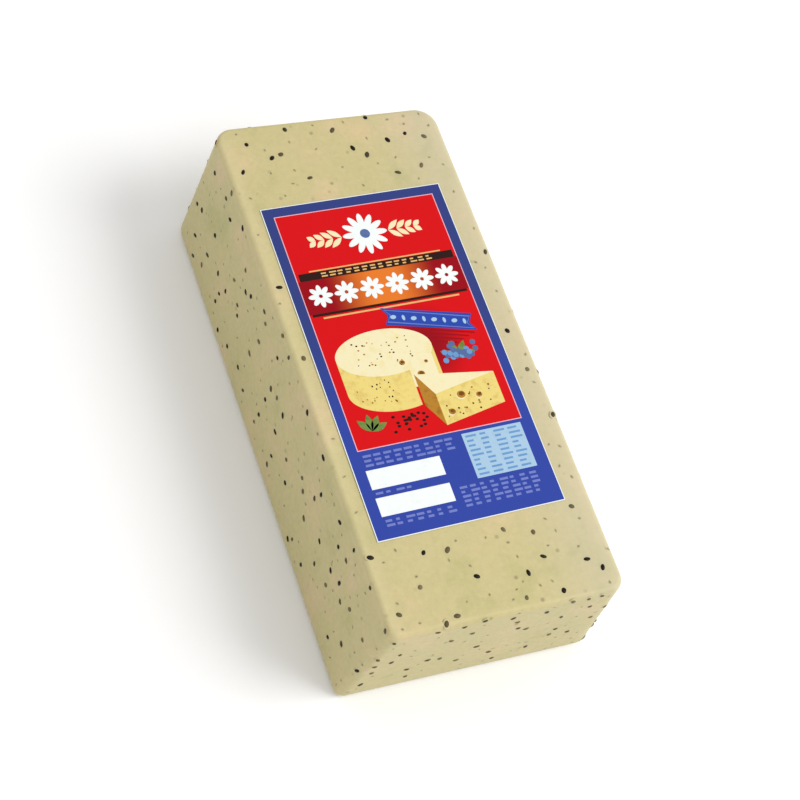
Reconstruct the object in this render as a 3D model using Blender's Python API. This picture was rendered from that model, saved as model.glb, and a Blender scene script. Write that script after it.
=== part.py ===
"""A whole loaf of pale seeded cheese with a printed label lying on its top.

Metres, +Z up. The origin is at the middle of the base, +Y runs to the far end of the loaf
and +X to its right-hand side. The long sides lean in towards the top, the two ends are cut
a little out of square, the far one slightly undercut, and every edge is rounded.
"""

import math
import random

import bmesh
import bpy
from mathutils import Matrix, Vector
from mathutils.bvhtree import BVHTree

# The loaf
TOP_WIDTH = 0.119
BASE_WIDTH = 0.137
LENGTH = 0.277            # along the top
HEIGHT = 0.0775
END_SKEW = 0.030          # how far each end runs out of square, per unit of width
FAR_UNDERCUT = 0.0048     # how far the far end's foot stands back under its top
UPRIGHT_RADII = (0.0050, 0.0085, 0.0110, 0.0095)   # one for each of CORNER_SIGNS
TOP_RADIUS = 0.0028
BASE_RADIUS = 0.0058
UPRIGHT_STEPS = 6
RIM_STEPS = 4

# The label
LABEL_WIDTH = 0.0965
LABEL_LENGTH = 0.1808
LABEL_THICKNESS = 0.0003
LABEL_CENTRE = (-0.0020, -0.0007)
LABEL_GAP = 0.0003

# The seeds
TOP_SEED_PITCH = 0.0182   # mean distance from seed to seed on the top
SIDE_SEED_PITCH = 0.0158  # mean distance from seed to seed on a side
SEED_JITTER = 1.3         # share of the pitch that a seed may wander
SEED_SPACING = 0.0050     # least distance between two seeds
SEED_EDGE = 0.0018        # least distance to a face's sharp outline
SEED_FOOT = 0.0060        # least height over the base
SEED_LABEL_MARGIN = 0.0028
SEED_LENGTHS = (0.0026, 0.0041)
SEED_WIDTHS = (0.0021, 0.0030)
SEED_THICKNESS = 0.0018
SEED_SINK = 0.0003        # depth of a seed's middle below the surface
SEED_SEGMENTS = 6
SEED_RINGS = 4
SEED_DRAW = 11

CORNER_SIGNS = ((-1, -1), (1, -1), (1, 1), (-1, 1))
FLAT_TOLERANCE = 1e-6

CHEESE_COLOUR = (0.62, 0.54, 0.30, 1.0)
LABEL_COLOUR = (0.66, 0.02, 0.02, 1.0)


def clear_scene():
    """Remove every object, so that the part stands alone."""
    for item in list(bpy.data.objects):
        bpy.data.objects.remove(item)


def make_material(name, colour, roughness):
    """Return a Principled material of one colour."""
    material = bpy.data.materials.new(name)
    material.use_nodes = True
    shader = material.node_tree.nodes["Principled BSDF"]
    shader.inputs["Base Color"].default_value = colour
    shader.inputs["Roughness"].default_value = roughness
    shader.inputs["Metallic"].default_value = 0.0
    return material


def add_object(name, mesh_builder, material):
    """Turn a bmesh into a named object with its material, and free the bmesh."""
    bmesh.ops.recalc_face_normals(mesh_builder, faces=mesh_builder.faces)
    mesh = bpy.data.meshes.new(name)
    mesh_builder.to_mesh(mesh)
    mesh_builder.free()
    mesh.materials.append(material)
    item = bpy.data.objects.new(name, mesh)
    bpy.context.scene.collection.objects.link(item)
    return item


def sharp_corners(width, height):
    """Return the loaf's four corners at one level before rounding, anticlockwise from above."""
    near_end = -LENGTH / 2
    far_end = LENGTH / 2 - FAR_UNDERCUT * (1 - height / HEIGHT)
    corners = []
    for side, end in CORNER_SIGNS:
        x = side * width / 2
        y = far_end if end > 0 else near_end
        corners.append(Vector((x, y - END_SKEW * x, height)))
    return corners


def seeded_faces():
    """Return the seeds' pitch and four corners, anticlockwise from outside, of each seeded face."""
    base = sharp_corners(BASE_WIDTH, 0.0)
    top = sharp_corners(TOP_WIDTH, HEIGHT)
    faces = [(TOP_SEED_PITCH, top)]
    for i in range(4):
        j = (i + 1) % 4
        faces.append((SIDE_SEED_PITCH, [base[i], base[j], top[j], top[i]]))
    return faces


def round_edges(builder, chosen, radius, steps):
    """Round the edges for which chosen(one end, other end) is true."""
    edges = [edge for edge in builder.edges if chosen(*(vert.co for vert in edge.verts))]
    bmesh.ops.bevel(builder, geom=edges, offset=radius, segments=steps, profile=0.5,
                    affect="EDGES", clamp_overlap=True)


def upright_at(side, end):
    """Return the test for the upright edge at one of the loaf's corners."""
    def chosen(first, second):
        middle = (first + second) / 2
        tall = abs(first.z - second.z) > HEIGHT / 2
        return tall and middle.x * side > 0 and middle.y * end > 0

    return chosen


def build_loaf():
    """Return the plain loaf: a drafted block with rounded uprights, top rim and base rim."""
    builder = bmesh.new()
    base = [builder.verts.new(point) for point in sharp_corners(BASE_WIDTH, 0.0)]
    top = [builder.verts.new(point) for point in sharp_corners(TOP_WIDTH, HEIGHT)]
    builder.faces.new(list(reversed(base)))
    builder.faces.new(top)
    for i in range(4):
        j = (i + 1) % 4
        builder.faces.new((base[i], base[j], top[j], top[i]))
    for (side, end), radius in zip(CORNER_SIGNS, UPRIGHT_RADII):
        round_edges(builder, upright_at(side, end), radius, UPRIGHT_STEPS)
    round_edges(builder, lambda a, b: min(a.z, b.z) > HEIGHT - FLAT_TOLERANCE, TOP_RADIUS, RIM_STEPS)
    round_edges(builder, lambda a, b: max(a.z, b.z) < FLAT_TOLERANCE, BASE_RADIUS, RIM_STEPS)
    return builder


def near_label(point):
    """Tell whether a point on the top lies under the label or close beside it."""
    across = abs(point.x - LABEL_CENTRE[0]) - LABEL_WIDTH / 2
    along = abs(point.y - LABEL_CENTRE[1]) - LABEL_LENGTH / 2
    over_side = point.z < HEIGHT - TOP_RADIUS
    return not over_side and max(across, along) < SEED_LABEL_MARGIN


def place_along(cell, cells, wander, length):
    """Return a place along an edge, as a share of its length, turned back at the edge's ends."""
    low = SEED_EDGE / length
    high = 1 - low
    share = (cell + 0.5 + SEED_JITTER * wander) / cells
    if share < low:
        return 2 * low - share
    return 2 * high - share if share > high else share


def seed_frame(normal, turn):
    """Return the axes of a seed lying on a surface, turned about its normal."""
    side = normal.cross(Vector((0.31, 0.87, 0.38))).normalized()
    along = Matrix.Rotation(turn, 3, normal) @ side
    across = normal.cross(along)
    return Matrix((across, normal, along)).transposed()


def seed_places(surface):
    """Return a centre, axes and size for each seed: a wandering grid over every face that shows."""
    draw = random.Random(SEED_DRAW)
    places = []
    for pitch, (a, b, c, d) in seeded_faces():
        outward = (b - a).cross(d - a).normalized()
        columns = round((b - a).length / pitch)
        rows = round((d - a).length / pitch)
        for cell in range(rows * columns):
            u = place_along(cell % columns, columns, draw.uniform(-0.5, 0.5), (b - a).length)
            v = place_along(cell // columns, rows, draw.uniform(-0.5, 0.5), (d - a).length)
            turn = draw.uniform(0, math.pi)
            length = draw.uniform(*SEED_LENGTHS)
            width = draw.uniform(*SEED_WIDTHS)
            start = a.lerp(b, u).lerp(d.lerp(c, u), v)
            spot, normal, _, _ = surface.ray_cast(start + outward * HEIGHT, -outward)
            if spot is None or spot.z < SEED_FOOT or near_label(spot):
                continue
            if any((spot - other[0]).length < SEED_SPACING for other in places):
                continue
            size = Vector((width, SEED_THICKNESS, length))
            places.append((spot - normal * SEED_SINK, seed_frame(normal, turn), size))
    return places


def add_seed(collection, centre, axes, size):
    """Add one seed, a faceted grain lying along the surface, to a collection."""
    builder = bmesh.new()
    bmesh.ops.create_uvsphere(builder, u_segments=SEED_SEGMENTS, v_segments=SEED_RINGS, radius=0.5)
    shape = axes @ Matrix.Diagonal(size)
    bmesh.ops.transform(builder, matrix=Matrix.Translation(centre) @ shape.to_4x4(), verts=builder.verts)
    mesh = bpy.data.meshes.new("seed")
    builder.to_mesh(mesh)
    builder.free()
    collection.objects.link(bpy.data.objects.new("seed", mesh))


def fuse(body, collection):
    """Join a collection's objects to the body as one solid, and remove them."""
    union = body.modifiers.new("Seeds", "BOOLEAN")
    union.operation = "UNION"
    union.operand_type = "COLLECTION"
    union.collection = collection
    union.solver = "EXACT"
    bpy.context.view_layer.objects.active = body
    bpy.ops.object.modifier_apply(modifier=union.name)
    for item in list(collection.objects):
        bpy.data.objects.remove(item)
    bpy.data.collections.remove(collection)


def make_cheese_block():
    """Make the loaf with its seeds standing a little proud of the top and the four sides."""
    builder = build_loaf()
    bmesh.ops.recalc_face_normals(builder, faces=builder.faces)
    places = seed_places(BVHTree.FromBMesh(builder))
    body = add_object("cheese_block", builder, make_material("cheese_block", CHEESE_COLOUR, 0.35))
    seeds = bpy.data.collections.new("seeds")
    bpy.context.scene.collection.children.link(seeds)
    for centre, axes, size in places:
        add_seed(seeds, centre, axes, size)
    fuse(body, seeds)
    body.data.shade_smooth()
    body.data.set_sharp_from_angle(angle=math.radians(30))


def make_label():
    """Make the label, a flat printed sheet just over the loaf's top."""
    middle = Vector((*LABEL_CENTRE, HEIGHT + LABEL_GAP + LABEL_THICKNESS / 2))
    size = Matrix.Diagonal((LABEL_WIDTH, LABEL_LENGTH, LABEL_THICKNESS, 1.0))
    builder = bmesh.new()
    bmesh.ops.create_cube(builder, size=1.0, matrix=Matrix.Translation(middle) @ size)
    add_object("label", builder, make_material("label", LABEL_COLOUR, 0.30))


def main():
    """Build the part from its two pieces."""
    clear_scene()
    make_cheese_block()
    make_label()


main()
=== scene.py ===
"""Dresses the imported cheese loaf: its cheese, seeds, printed label, floor, light and camera.

Run as a script in Blender 4.5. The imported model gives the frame, in metres with +Z up.
The label is laid out in millimetres from its upper left corner, across and then down.
"""

import math
import random
from typing import NamedTuple

import bmesh
import bpy
from bpy.props import FloatProperty, FloatVectorProperty, IntProperty, PointerProperty
from mathutils import Matrix, Quaternion, Vector, noise
from mathutils.bvhtree import BVHTree


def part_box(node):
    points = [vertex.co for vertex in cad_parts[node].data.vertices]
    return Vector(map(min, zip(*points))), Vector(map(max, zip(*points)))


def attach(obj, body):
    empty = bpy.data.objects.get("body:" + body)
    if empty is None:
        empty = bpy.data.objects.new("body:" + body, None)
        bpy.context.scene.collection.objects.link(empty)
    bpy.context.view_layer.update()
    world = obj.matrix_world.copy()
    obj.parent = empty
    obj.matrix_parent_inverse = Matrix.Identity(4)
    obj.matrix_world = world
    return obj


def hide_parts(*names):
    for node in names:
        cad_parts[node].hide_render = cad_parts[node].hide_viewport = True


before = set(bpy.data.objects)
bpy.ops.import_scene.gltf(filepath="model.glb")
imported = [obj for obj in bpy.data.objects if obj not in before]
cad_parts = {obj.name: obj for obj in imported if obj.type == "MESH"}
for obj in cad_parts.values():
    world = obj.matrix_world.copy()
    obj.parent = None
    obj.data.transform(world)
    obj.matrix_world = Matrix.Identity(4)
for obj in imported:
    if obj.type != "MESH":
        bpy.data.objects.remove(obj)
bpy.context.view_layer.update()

bl_info = {
    "name": "Seeded Cheese Loaf",
    "version": (1, 0, 0),
    "blender": (4, 5, 0),
    "location": "View3D > Sidebar > Cheese Loaf",
    "description": "Builds the visible pieces of a seeded cheese loaf with a printed label",
    "category": "Add Mesh",
}

BODY = "root"
BLOCK_NODE = "cheese_block"
LABEL_NODE = "label"
CHEESE_SLOT = "cheese"
PRINT_SLOT = "label_print"

MM = 1000                      # millimetres in a metre
LABEL_LOW, LABEL_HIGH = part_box(LABEL_NODE)
LABEL_ACROSS = (LABEL_HIGH.x - LABEL_LOW.x) * MM
LABEL_DOWN = (LABEL_HIGH.y - LABEL_LOW.y) * MM
LABEL_GAP = 0.0003             # under the solid label
PAPER_GAP = LABEL_GAP / 3      # under the sheet that takes its place
LOAF_HEIGHT = LABEL_LOW.z - LABEL_GAP

# The loaf's mesh
CORNER_SIGNS = ((-1, -1), (1, -1), (1, 1), (-1, 1))
FLAT_TOLERANCE = 1e-6
UPRIGHT_STEPS = 10
RIM_STEPS = 8
SMOOTH_ANGLE = math.radians(40)

# The grains of seed
GRAIN_SIDES = 8
GRAIN_RINGS = 6
PROUD_UNEVENNESS = 0.0004
SUNK_UNEVENNESS = 0.0001
WOBBLE_SCALE = 900.0
SKEW_AXIS = Vector((0.31, 0.87, 0.38))   # along no face's normal
PROUD_FADE = (0.36, 0.46)      # parts of a grain's height over which it comes to show
SUNK_FADE = (0.66, 1.05)
SHADE_FADE = (0.66, 0.95)
PROUD_VEIL = 0.85              # greatest veil over a proud seed
SHADE_VEIL = 0.8               # a shade's veil, as a share of its seed's
SUNK_VEILS = (0.55, 1.0)
END_SLOPE = 0.7                # a normal that runs more along the loaf than this is an end's

# The colour's soft patches, as ranges of the noise that makes them
WARM_RANGE = (0.50, 0.72)
COOL_RANGE = (0.46, 0.30)

# The faint flecks of seeds that lie deeper, one to a cell
FLECK_CELLS = 115.0            # cells to a metre
FLECK_CORE = 0.06              # full inside this share of a cell
FLECK_EDGE = 0.17              # gone outside this one
FLECK_LACK = 0.15              # share of the cells that have none
FLECK_STRENGTH = 0.8

# Painted sheen and painted reflection of the light on the top: depths under the top, shares of its half
# width, and strengths
SHEEN_DEPTHS = (0.006, 0.001)
REFLECTION_SPAN = (0.15, 1.05)
REFLECTION_SHARE = 0.38
RIM_SHEEN_SPAN = (0.84, 0.96)
RIM_SHEEN_SHARE = 0.15

# The cheese's glow from within
GLOW_SHARE = 0.12
GLOW_RADII = (1.0, 0.75, 0.4)
GLOW_DEPTH = 0.003

# The label's layout, in label millimetres
MARGIN = 0.4                   # bare paper round the print
BORDER = 5.4
INNER_LINE = 0.45
PANEL_TOP = 135.6
WHITE_BOXES = ((6.0, 145.8, 43.5, 155.6), (6.0, 160.0, 43.5, 169.4))
SKY_BOX = (58.0, 137.4, 89.4, 161.0)
CREST_LEVEL = 22.2
BAND = (43.2, 61.8)            # top and bottom of the title band
RULES = (("gold", 35, 38.0, 38.7), ("black", 41, 39.0, 43.2), ("black", 41, 61.8, 63.2),
         ("gold", 36, 64.0, 64.9))       # ink, half length, top and bottom
INK_DEPTH = 2                  # thickness of a rosette or dash, in steps of ink
DASH_SHARES = (0.35, 0.86)     # least and greatest length of a dash, as a share of its pitch
PICTURE_DRAW = 5

# The print's gradients: shares of the label's half width, heights over its foot, and in metres
# the place of the red field's shade from the upper right corner, and its reach
GLOW_SPAN = (0.08, 0.62)
NAVY_SPAN = (0.045, 0.120)
SHADE_FOCUS = (0.040, 0.088)
SHADE_REACH = (0.006, 0.026)

# How far a colour is dimmed in its duller patches
INK_DIM = 0.94
PAPER_DIM = 0.95
FLOOR_DIM = 0.985


class Finish(NamedTuple):
    """The numbers of a finish: roughness, scales of its patterns to a metre, and height of its bumps."""

    roughness: float
    patch_scale: float
    grain_scale: float
    grain_amount: float
    specular: float = 0.5
    coat: float = 0.0
    smoothest: float = 0.5
    roughest: float = 0.5
    bump: float = 0.0


CHEESE_FINISH = Finish(roughness=0.45, patch_scale=34.0, grain_scale=420.0, grain_amount=0.20, specular=0.16,
                       coat=0.08, smoothest=0.38, roughest=0.55, bump=0.00006)
SHADE_FINISH = CHEESE_FINISH._replace(roughness=0.50, specular=0.15, coat=0.0)
SEED_FINISH = Finish(roughness=0.42, patch_scale=500.0, grain_scale=2500.0, grain_amount=0.20, specular=0.15,
                     smoothest=0.35, roughest=0.55, bump=0.00005)
INK_FINISH = Finish(roughness=0.36, patch_scale=160.0, grain_scale=2600.0, grain_amount=0.10, specular=0.06,
                    smoothest=0.30, roughest=0.42, bump=0.00001)
FLOOR_FINISH = Finish(roughness=0.80, patch_scale=3.0, grain_scale=400.0, grain_amount=0.01)
COAT_ROUGHNESS = 0.25


def srgb(red, green, blue):
    """Return a linear colour from three screen values of 0 to 255."""
    shares = [value / 255 for value in (red, green, blue)]
    return tuple(s / 12.92 if s <= 0.04045 else ((s + 0.055) / 1.055) ** 2.4 for s in shares)


def colour_property(name, description, default):
    """Return a colour property for a settings group."""
    return FloatVectorProperty(name=name, description=description, subtype="COLOR", size=3,
                               min=0.0, max=1.0, default=default)


def length_property(name, description, default):
    """Return a length property in metres."""
    return FloatProperty(name=name, description=description, default=default, min=0.0,
                         precision=5, unit="LENGTH", subtype="DISTANCE")


class LoafSettings(bpy.types.PropertyGroup):
    """Sizes and colours of the loaf."""

    top_width: length_property("Top width", "Width across the top", 0.119)
    base_width: length_property("Base width", "Width across the base", 0.137)
    length: length_property("Length", "Length from end to end along the top", 0.277)
    far_undercut: length_property("Far undercut", "How far the far end's foot stands back", 0.0048)
    end_skew: FloatProperty(name="End skew", default=0.030,
                            description="How far the ends run out of square, per unit of width")
    upright_radii: FloatVectorProperty(
        name="Upright radii", size=4, precision=5, min=0.0, default=(0.0050, 0.0085, 0.0110, 0.0095),
        description="Rounding of the near left, near right, far right and far left upright")
    top_radius: length_property("Top radius", "Rounding of the top rim", 0.0028)
    base_radius: length_property("Base radius", "Rounding of the base rim", 0.0058)
    cell: length_property("Cell", "Size of the mesh's cells on the flat faces", 0.006)
    relief: length_property("Relief", "Depth of the soft unevenness of the faces", 0.00022)
    relief_span: length_property("Relief span", "Width of one swell of the unevenness", 0.032)
    colour: colour_property("Cheese", "Main colour of the cheese", srgb(201, 189, 138))
    warm: colour_property("Warm patches", "Colour of the warmer patches", srgb(212, 191, 146))
    cool: colour_property("Cool patches", "Colour of the duller patches", srgb(190, 182, 128))
    fleck: colour_property("Flecks", "Colour of seeds that lie deeper in the cheese", srgb(140, 129, 95))
    # Painted sheen: the top is coloured paler beside the long rims, where the film would catch the light
    haze: colour_property("Film haze", "Colour where the tight film catches light beside the long rims",
                          srgb(224, 212, 172))
    # Painted reflection: the top is coloured greyer and paler towards its right rim, where the film would
    # reflect the light's white
    painted_reflection: colour_property("Grey haze", "Colour that the film takes on the top towards its right rim",
                               srgb(195, 187, 172))


class SeedSettings(bpy.types.PropertyGroup):
    """Sizes, places and colours of the seeds."""

    top_pitch: length_property("Top pitch", "Mean distance from seed to seed on the top", 0.0182)
    side_pitch: length_property("Side pitch", "Mean distance from seed to seed on a side", 0.0158)
    jitter: FloatProperty(name="Jitter", description="Share of the pitch that a seed may wander",
                          default=1.3, min=0.0, max=2.0)
    spacing: length_property("Spacing", "Least distance between two seeds", 0.0050)
    edge: length_property("Edge", "Least distance to a face's sharp outline", 0.0018)
    foot: length_property("Foot", "Least height over the base", 0.0060)
    label_margin: length_property("Label margin", "Least distance to the label", 0.0028)
    shortest: length_property("Shortest", "Length of the shortest seed", 0.0026)
    longest: length_property("Longest", "Length of the longest seed", 0.0041)
    narrowest: length_property("Narrowest", "Width of the narrowest seed", 0.0021)
    widest: length_property("Widest", "Width of the widest seed", 0.0030)
    thickness: length_property("Thickness", "Thickness of a seed", 0.0018)
    sink: length_property("Sink", "Depth of a seed's middle below the surface", 0.0003)
    draw: IntProperty(name="Draw", description="Seed of the random draw for the seeds' places", default=11)
    sunk_pitch: length_property("Sunk pitch", "Mean distance between seeds under the surface", 0.0125)
    sunk_draw: IntProperty(name="Sunk draw", default=29,
                           description="Seed of the random draw for the sunk seeds")
    sunk_thickness: length_property("Sunk thickness", "Thickness of a sunk seed's swelling", 0.0005)
    sunk_sink: length_property("Sunk sink", "Depth of a sunk seed's middle below the surface", 0.00017)
    shade_spread: FloatProperty(name="Shade spread", default=1.45, min=1.0,
                                description="Size of the soft shade round a seed, to the seed's")
    shade: colour_property("Shade", "Colour of the cheese where a seed shows through", srgb(120, 109, 80))
    bare_share: FloatProperty(name="Bare share", description="Share of the seeds that no cheese covers",
                              default=0.40, min=0.0, max=1.0, subtype="FACTOR")
    end_veil: FloatProperty(name="End veil", default=0.35, min=0.0, max=1.0, subtype="FACTOR",
                            description="Least veil of cheese over the seeds of the two ends")
    dark: colour_property("Bare seed", "Colour of a bare seed", srgb(22, 16, 10))
    veiled: colour_property("Veiled seed", "Colour of a seed under a thin veil of cheese", srgb(132, 120, 88))


class LabelSettings(bpy.types.PropertyGroup):
    """Colours and thicknesses of the label's print."""

    paper_depth: length_property("Paper depth", "Thickness of the label's sheet", 0.00030)
    ink_step: length_property("Ink step", "Height of each layer of ink over the one below", 0.00002)
    paper: colour_property("Paper", "Colour of the bare sheet", srgb(234, 239, 237))
    blue: colour_property("Blue", "Lower panel and the border's lower part", srgb(50, 69, 156))
    navy: colour_property("Navy", "Upper part of the border", srgb(52, 64, 124))
    bright_blue: colour_property("Bright blue", "Ribbon", srgb(44, 72, 164))
    pink: colour_property("Pink", "Thin line round the red field", srgb(226, 178, 190))
    red: colour_property("Red", "Main field", srgb(207, 18, 23))
    deep_red: colour_property("Deep red", "Title band's ends and the field's shade", srgb(146, 12, 24))
    orange: colour_property("Orange", "Glow in the middle of the title band", srgb(222, 118, 42))
    gold: colour_property("Gold", "Rules beside the title band", srgb(222, 176, 110))
    black: colour_property("Black", "Dark rules", srgb(44, 26, 22))
    cream: colour_property("Cream", "Cheese and ornaments in the picture", srgb(233, 223, 182))
    yellow: colour_property("Yellow", "Sides of the cheese in the picture", srgb(226, 205, 122))
    amber: colour_property("Amber", "Holes and rind in the picture", srgb(176, 124, 46))
    rind: colour_property("Rind", "Hollows of the holes in the picture", srgb(110, 70, 26))
    green: colour_property("Green", "Leaves in the picture", srgb(112, 138, 70))
    sky: colour_property("Sky", "Pale box in the lower panel", srgb(163, 193, 216))
    mist: colour_property("Mist", "Rules in the pale box", srgb(104, 148, 196))
    slate: colour_property("Slate", "Berries in the picture", srgb(84, 104, 150))
    haze: colour_property("Haze", "Fine pale dashes on blue", srgb(112, 124, 190))


class StageSettings(bpy.types.PropertyGroup):
    """Floor, light and camera."""

    floor: colour_property("Floor", "Colour of the floor", (0.92, 0.92, 0.92))
    floor_size: length_property("Floor size", "Length of the floor's sides", 4.0)
    sky: FloatProperty(name="Sky", description="Strength of the light from all round", default=0.79, min=0.0)
    lamp_power: FloatProperty(name="Lamp power", description="Power of the soft lamp", default=30.0, min=0.0,
                              unit="POWER")
    lamp_size: length_property("Lamp size", "Width of the soft lamp", 1.1)
    lamp_distance: length_property("Lamp distance", "Distance from the loaf to the lamp", 2.2)
    lamp_towards: FloatVectorProperty(name="Lamp towards", description="Direction from the loaf to the lamp",
                                      subtype="DIRECTION", size=3, default=(0.56, -0.33, 0.76))
    aim: FloatVectorProperty(name="Aim", description="Point in the middle of the picture", size=3,
                             subtype="TRANSLATION", unit="LENGTH", default=(0.00139, -0.00713, 0.03875))
    distance: length_property("Camera distance", "Distance from the camera to that point", 0.90044)
    azimuth: FloatProperty(name="Azimuth", description="Turn of the camera round the loaf", subtype="ANGLE",
                           default=math.radians(-44.657))
    elevation: FloatProperty(name="Elevation", description="Height of the camera over the horizon",
                             subtype="ANGLE", default=math.radians(58.357))
    roll: FloatProperty(name="Roll", description="Tilt of the camera about its line of sight",
                        subtype="ANGLE", default=math.radians(28.840))
    lens: FloatProperty(name="Lens", description="Focal length in millimetres for a 36 mm sensor",
                        default=81.373, min=1.0)


def add_node(tree, kind, inputs=None, **options):
    """Add a node, set its options, and give each listed input a value or a link."""
    made = tree.nodes.new(kind)
    for name, value in options.items():
        setattr(made, name, value)
    for key, value in (inputs or {}).items():
        if isinstance(value, bpy.types.NodeSocket):
            tree.links.new(value, made.inputs[key])
        else:
            made.inputs[key].default_value = value
    return made


def start_group(name, kind, inputs, outputs):
    """Return a new node group with its named sockets, and the sockets that give its inputs inside."""
    tree = bpy.data.node_groups.new(name, kind)
    for direction, sockets in (("INPUT", inputs), ("OUTPUT", outputs)):
        for key, socket in sockets.items():
            tree.interface.new_socket(name=key, in_out=direction, socket_type=f"NodeSocket{socket}")
    return tree, add_node(tree, "NodeGroupInput").outputs


def as_input(colour):
    """Return a colour as a node takes it: a socket as it is, any other colour with full alpha."""
    return colour if isinstance(colour, bpy.types.NodeSocket) else (*colour[:3], 1.0)


def dimmed(colour, share):
    """Return a colour with a share of its light."""
    return tuple(share * part for part in colour)


def object_position(tree):
    """Return the socket that gives the place on the object."""
    return add_node(tree, "ShaderNodeTexCoord").outputs["Object"]


def mixed_colour(tree, share, first, second):
    """Return the socket of a mix of two colours."""
    mix = add_node(tree, "ShaderNodeMix", {0: share, 6: as_input(first), 7: as_input(second)},
                   data_type="RGBA")
    return mix.outputs[2]


def calculated(tree, operation, first, second):
    """Return the socket of an operation on two values."""
    return add_node(tree, "ShaderNodeMath", {0: first, 1: second}, operation=operation).outputs[0]


def ramp(tree, value, start, end):
    """Return a socket that runs smoothly from 0 at start to 1 at end."""
    made = add_node(tree, "ShaderNodeMapRange", {"Value": value, "From Min": start, "From Max": end},
                    interpolation_type="SMOOTHSTEP")
    return made.outputs[0]


def axis_share(tree, axis, start, end, middle=None):
    """Return a socket that runs from 0 at start to 1 at end along an axis, or outwards from a middle."""
    value = add_node(tree, "ShaderNodeSeparateXYZ", {0: object_position(tree)}).outputs[axis]
    if middle is not None:
        offset = calculated(tree, "SUBTRACT", value, middle)
        value = add_node(tree, "ShaderNodeMath", {0: offset}, operation="ABSOLUTE").outputs[0]
    return ramp(tree, value, start, end)


def noise_value(tree, scale, detail, roughness):
    """Return the socket of a noise over the object."""
    made = add_node(tree, "ShaderNodeTexNoise", {"Vector": object_position(tree), "Scale": scale,
                                                 "Detail": detail, "Roughness": roughness})
    return made.outputs[0]


def uneven_tint_group():
    """Return the group that varies a colour in soft patches and fine grain, built once."""
    name = "uneven_tint"
    if name in bpy.data.node_groups:
        return bpy.data.node_groups[name]
    tree, given = start_group(name, "ShaderNodeTree",
                              {"Color": "Color", "Warm Color": "Color", "Cool Color": "Color",
                               "Patch Scale": "Float", "Grain Scale": "Float", "Grain Amount": "Float"},
                              {"Color": "Color", "Grain": "Float"})
    patches = noise_value(tree, given["Patch Scale"], 5.0, 0.62)
    grain = noise_value(tree, given["Grain Scale"], 4.0, 0.6)
    warmed = mixed_colour(tree, ramp(tree, patches, *WARM_RANGE), given["Color"], given["Warm Color"])
    cooled = mixed_colour(tree, ramp(tree, patches, *COOL_RANGE), warmed, given["Cool Color"])
    shade = calculated(tree, "MULTIPLY", grain, given["Grain Amount"])
    darkened = mixed_colour(tree, shade, cooled, (0.0, 0.0, 0.0))
    add_node(tree, "NodeGroupOutput", {"Color": darkened, "Grain": grain})
    return tree


def start_material(name, finish):
    """Return a new material, its node tree and its Principled shader with the uniform values set."""
    material = bpy.data.materials.new(name)
    material.use_nodes = True
    tree = material.node_tree
    shader = tree.nodes["Principled BSDF"]
    shader.inputs["Roughness"].default_value = finish.roughness
    shader.inputs["Specular IOR Level"].default_value = finish.specular
    shader.inputs["Coat Weight"].default_value = finish.coat
    shader.inputs["Coat Roughness"].default_value = COAT_ROUGHNESS
    return material, tree, shader


def add_tint(tree, finish, colour, warm, cool):
    """Place the shared tint group in a material and return its outputs."""
    inputs = {"Color": as_input(colour), "Warm Color": as_input(warm), "Cool Color": as_input(cool),
              "Patch Scale": finish.patch_scale, "Grain Scale": finish.grain_scale,
              "Grain Amount": finish.grain_amount}
    return add_node(tree, "ShaderNodeGroup", inputs, node_tree=uneven_tint_group()).outputs


def join_surface(tree, shader, finish, colour, grain):
    """Feed a colour, a roughness that follows the grain, and a bump to the shader."""
    rough = add_node(tree, "ShaderNodeMapRange",
                     {"Value": grain, "To Min": finish.smoothest, "To Max": finish.roughest})
    relief = add_node(tree, "ShaderNodeBump", {"Height": grain, "Strength": 1.0, "Distance": finish.bump})
    tree.links.new(colour, shader.inputs["Base Color"])
    tree.links.new(rough.outputs[0], shader.inputs["Roughness"])
    tree.links.new(relief.outputs[0], shader.inputs["Normal"])


def buried_flecks(tree, colour, fleck):
    """Return the socket of a colour with faint spots, where seeds lie too deep to show their shape."""
    cells = add_node(tree, "ShaderNodeTexVoronoi", {"Vector": object_position(tree), "Scale": FLECK_CELLS})
    near = ramp(tree, cells.outputs["Distance"], FLECK_EDGE, FLECK_CORE)
    pick = add_node(tree, "ShaderNodeSeparateColor", {0: cells.outputs["Color"]})
    strength = add_node(tree, "ShaderNodeMapRange", {"Value": pick.outputs[0], "From Min": FLECK_LACK,
                                                     "From Max": 1.0, "To Max": FLECK_STRENGTH})
    share = calculated(tree, "MULTIPLY", near, strength.outputs[0])
    return mixed_colour(tree, share, colour, fleck)


def painted_sheen_group(loaf):
    """Return the group that paints light onto a colour on the top, a greyer reflection and a paler sheen of
    the film, built once.
    """
    name = "film_haze"
    if name in bpy.data.node_groups:
        return bpy.data.node_groups[name]
    tree, given = start_group(name, "ShaderNodeTree", {"Color": "Color"}, {"Color": "Color"})
    half = loaf.top_width / 2
    # Painted light on the top only: a reflection towards the right rim and a sheen beside the long rims
    over = axis_share(tree, "Z", *(LOAF_HEIGHT - depth for depth in SHEEN_DEPTHS))
    towards_right = axis_share(tree, "X", *(half * part for part in REFLECTION_SPAN))
    beside_rims = axis_share(tree, "X", *(half * part for part in RIM_SHEEN_SPAN), 0.0)
    colour = given["Color"]
    for place, most, haze in ((towards_right, REFLECTION_SHARE, loaf.painted_reflection),
                              (beside_rims, RIM_SHEEN_SHARE, loaf.haze)):
        share = calculated(tree, "MULTIPLY", calculated(tree, "MULTIPLY", place, over), most)
        colour = mixed_colour(tree, share, colour, haze)
    add_node(tree, "NodeGroupOutput", {"Color": colour})
    return tree


def film_haze(tree, colour, loaf):
    """Return the socket of a colour with the film's painted reflection and painted sheen of the light on the
    top.
    """
    haze = add_node(tree, "ShaderNodeGroup", {"Color": as_input(colour)}, node_tree=painted_sheen_group(loaf))
    return haze.outputs["Color"]


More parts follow.
